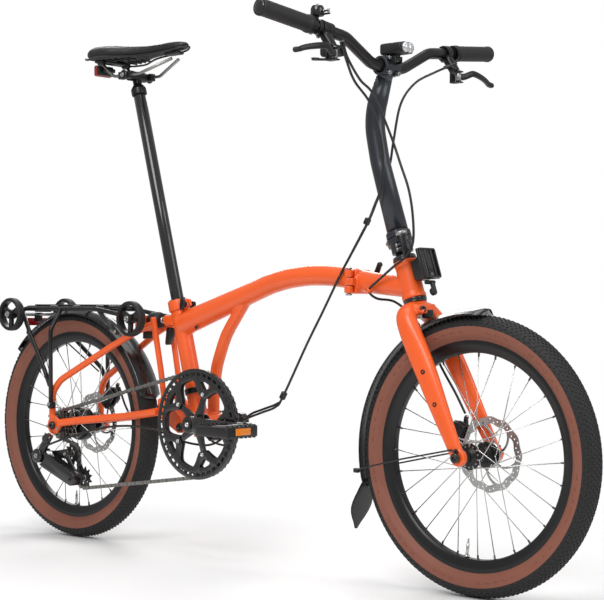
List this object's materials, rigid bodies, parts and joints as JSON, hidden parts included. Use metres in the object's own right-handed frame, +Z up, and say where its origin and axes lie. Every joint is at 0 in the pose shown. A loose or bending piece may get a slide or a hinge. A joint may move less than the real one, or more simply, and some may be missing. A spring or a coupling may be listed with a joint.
{
  "type": "folding bicycle",
  "caption": "Small-wheeled folding bicycle with hinged main tube, folding handlepost, swinging rear triangle, luggage rack and disc brakes.",
  "frame": {"origin": "on the ground midway between the two wheel axles", "axes": "+X forward, +Y to the rider's left, +Z up"},
  "size_m": [1.6232, 0.692, 1.102],
  "materials": {
    "tyre": "matt with brown sidewalls",
    "rim": "satin black anodised",
    "bright_steel": "bright",
    "black_metal": "satin black",
    "frame_paint": "satin orange",
    "post_paint": "satin dark grey",
    "saddle_cover": "matt black cover",
    "grip_rubber": "matt",
    "cable_housing": "satin black",
    "steel": "worn steel",
    "black_plastic": "matt black",
    "red_lens": "glossy red",
    "gloss_black": "glossy black",
    "gloss_black_metal": "gloss black"
  },
  "bodies": {
    "main_frame": {"rear_main_frame": "frame_paint", "frame_fittings": "black_metal", "seat_collar": "black_metal"},
    "seat_lever": {"seat_lever": "black_metal"},
    "main_hinge_lever": {"main_hinge_lever": "black_metal"},
    "rear_latch": {"rear_latch": "black_metal"},
    "front_frame": {"front_main_frame": "frame_paint", "headset_rings": "black_metal", "carrier_block": "black_plastic"},
    "carrier_lever": {"carrier_lever": "black_plastic"},
    "fork": {"fork": "frame_paint", "front_axle": "black_metal", "front_mudguard": "gloss_black", "front_caliper": "black_metal", "stem_base": "black_metal"},
    "front_wheel": {"front_tyre": "tyre", "front_rim": "rim", "front_hub": "black_metal", "front_spokes": "bright_steel"},
    "stem_lever": {"stem_lever": "black_metal"},
    "handlepost": {"handlepost": "post_paint", "handlebar": "black_metal", "bar_clamp": "black_metal", "grips": "grip_rubber", "lever_mounts": "black_metal", "bell": "black_metal"},
    "headlight": {"headlight": "black_plastic"},
    "bell_striker": {"bell_striker": "black_metal"},
    "brake_lever_left": {"brake_lever_left": "black_metal"},
    "brake_lever_right": {"brake_lever_right": "black_metal"},
    "shifter_lever": {"shifter_lever": "black_plastic"},
    "seatpost": {"seatpost": "gloss_black_metal", "saddle_clamp": "black_metal", "saddle": "saddle_cover", "rear_light": "red_lens"},
    "rear_frame": {"rear_frame": "frame_paint", "rear_axle": "black_metal", "elastomer": "grip_rubber", "rack": "black_metal", "rear_mudguard": "gloss_black", "rear_caliper": "black_metal", "derailleur": "black_metal", "chain": "steel", "cables": "cable_housing"},
    "rear_wheel": {"rear_tyre": "tyre", "rear_rim": "rim", "rear_hub": "black_metal", "rear_spokes": "bright_steel"},
    "cassette": {"cassette": "steel"},
    "derailleur_cage": {"derailleur_cage": "black_metal"},
    "guide_pulley": {"guide_pulley": "black_plastic"},
    "tension_pulley": {"tension_pulley": "black_plastic"},
    "cranks": {"cranks": "black_metal", "chainring": "black_metal"},
    "pedal_right": {"pedal_right": "black_plastic"},
    "pedal_left": {"pedal_left": "black_plastic"},
    "roller_front_left": {"roller_front_left": "black_plastic"},
    "roller_front_right": {"roller_front_right": "black_plastic"},
    "roller_rear_left": {"roller_rear_left": "black_plastic"},
    "roller_rear_right": {"roller_rear_right": "black_plastic"}
  },
  "joints": [
    {"name": "rear_fold", "type": "hinge", "parent": "main_frame", "child": "rear_frame", "pos_m": [-0.1906, 0, 0.269], "axis": [0, -1, 0], "range_deg": [0, 126], "deforming": ["chain", "cables"]},
    {"name": "main_fold", "type": "hinge", "parent": "main_frame", "child": "front_frame", "pos_m": [0.2744, -0.03, 0.573], "axis": [0, 0, 1], "range_deg": [-120, 0], "deforming": ["cables"]},
    {"name": "steering", "type": "hinge", "parent": "front_frame", "child": "fork", "pos_m": [0.4104, 0, 0.54], "axis": [0.309, 0, -0.9511], "range_deg": [-70, 70], "deforming": ["cables"]},
    {"name": "stem_fold", "type": "hinge", "parent": "fork", "child": "handlepost", "pos_m": [0.35353, 0.02051, 0.64866], "axis": [-0.6725, -0.7071, -0.2185], "range_deg": [0, 165], "deforming": ["cables"]},
    {"name": "front_wheel_spin", "type": "hinge", "parent": "fork", "child": "front_wheel", "pos_m": [0.5556, 0, 0.256], "axis": [0, 1, 0], "continuous": true},
    {"name": "rear_wheel_spin", "type": "hinge", "parent": "rear_frame", "child": "rear_wheel", "pos_m": [-0.5556, 0, 0.256], "axis": [0, 1, 0], "continuous": true},
    {"name": "crank_spin", "type": "hinge", "parent": "main_frame", "child": "cranks", "pos_m": [-0.1136, 0, 0.281], "axis": [0, 1, 0], "continuous": true, "deforming": ["chain"]},
    {"name": "cassette_spin", "type": "hinge", "parent": "rear_frame", "child": "cassette", "pos_m": [-0.5556, 0, 0.256], "axis": [0, 1, 0], "continuous": true, "deforming": ["chain"]},
    {"name": "guide_pulley_spin", "type": "hinge", "parent": "derailleur_cage", "child": "guide_pulley", "pos_m": [-0.5166, -0.049, 0.194], "axis": [0, 1, 0], "continuous": true, "deforming": ["chain"]},
    {"name": "tension_pulley_spin", "type": "hinge", "parent": "derailleur_cage", "child": "tension_pulley", "pos_m": [-0.4766, -0.049, 0.142], "axis": [0, 1, 0], "continuous": true, "deforming": ["chain"]},
    {"name": "chain_tensioner", "type": "hinge", "parent": "rear_frame", "child": "derailleur_cage", "pos_m": [-0.5876, -0.069, 0.187], "axis": [0, 1, 0], "range_deg": [-12, 20], "deforming": ["chain"]},
    {"name": "pedal_right_spin", "type": "hinge", "parent": "cranks", "child": "pedal_right", "pos_m": [0.0514, -0.135, 0.281], "axis": [0, 1, 0], "continuous": true},
    {"name": "pedal_left_spin", "type": "hinge", "parent": "cranks", "child": "pedal_left", "pos_m": [-0.2786, 0.135, 0.281], "axis": [0, 1, 0], "continuous": true},
    {"name": "roller_front_left_spin", "type": "hinge", "parent": "rear_frame", "child": "roller_front_left", "pos_m": [-0.2916, 0.08, 0.497], "axis": [0, 1, 0], "continuous": true},
    {"name": "roller_front_right_spin", "type": "hinge", "parent": "rear_frame", "child": "roller_front_right", "pos_m": [-0.2916, -0.08, 0.497], "axis": [0, 1, 0], "continuous": true},
    {"name": "roller_rear_left_spin", "type": "hinge", "parent": "rear_frame", "child": "roller_rear_left", "pos_m": [-0.7006, 0.08, 0.504], "axis": [0, 1, 0], "continuous": true},
    {"name": "roller_rear_right_spin", "type": "hinge", "parent": "rear_frame", "child": "roller_rear_right", "pos_m": [-0.7006, -0.08, 0.504], "axis": [0, 1, 0], "continuous": true},
    {"name": "seatpost_slide", "type": "slide", "parent": "main_frame", "child": "seatpost", "axis": [-0.2672, 0, 0.9636], "range_m": [-0.36, 0.02]},
    {"name": "seat_lever_swing", "type": "hinge", "parent": "main_frame", "child": "seat_lever", "pos_m": [-0.19993, -0.015, 0.529], "axis": [0, 1, 0], "range_deg": [-20, 70]},
    {"name": "main_hinge_lever_turn", "type": "hinge", "parent": "main_frame", "child": "main_hinge_lever", "pos_m": [0.2754, 0.042, 0.573], "axis": [0, 1, 0], "range_deg": [-90, 90]},
    {"name": "rear_latch_swing", "type": "hinge", "parent": "main_frame", "child": "rear_latch", "pos_m": [-0.254, 0, 0.472], "axis": [0, 1, 0], "range_deg": [-5, 20]},
    {"name": "carrier_lever_press", "type": "hinge", "parent": "front_frame", "child": "carrier_lever", "pos_m": [0.44611, 0, 0.57086], "axis": [0, 1, 0], "range_deg": [0, 15]},
    {"name": "stem_lever_swing", "type": "hinge", "parent": "fork", "child": "stem_lever", "pos_m": [0.3996, -0.02793, 0.66363], "axis": [-0.6725, -0.7071, -0.2185], "range_deg": [0, 60]},
    {"name": "headlight_tilt", "type": "hinge", "parent": "handlepost", "child": "headlight", "pos_m": [0.3644, 0, 0.994], "axis": [0, 1, 0], "range_deg": [0, 15]},
    {"name": "brake_lever_left_pull", "type": "hinge", "parent": "handlepost", "child": "brake_lever_left", "pos_m": [0.37131, 0.18733, 0.9803], "axis": [0, 0, 1], "range_deg": [0, 20]},
    {"name": "brake_lever_right_pull", "type": "hinge", "parent": "handlepost", "child": "brake_lever_right", "pos_m": [0.37131, -0.18733, 0.9803], "axis": [0, 0, -1], "range_deg": [0, 20]},
    {"name": "shifter_lever_press", "type": "hinge", "parent": "handlepost", "child": "shifter_lever", "pos_m": [0.34331, -0.16233, 0.97589], "axis": [0, 0, 1], "range_deg": [0, 20]},
    {"name": "bell_striker_flick", "type": "hinge", "parent": "handlepost", "child": "bell_striker", "pos_m": [0.36565, -0.19822, 1.05785], "axis": [0, 0, 1], "range_deg": [0, 15]}
  ],
  "couplings": [
    {"joint": "cassette_spin", "follows": "crank_spin", "ratio": 3.6},
    {"joint": "tension_pulley_spin", "follows": "crank_spin", "ratio": 4.9091},
    {"joint": "guide_pulley_spin", "follows": "crank_spin", "ratio": -4.9091}
  ]
}
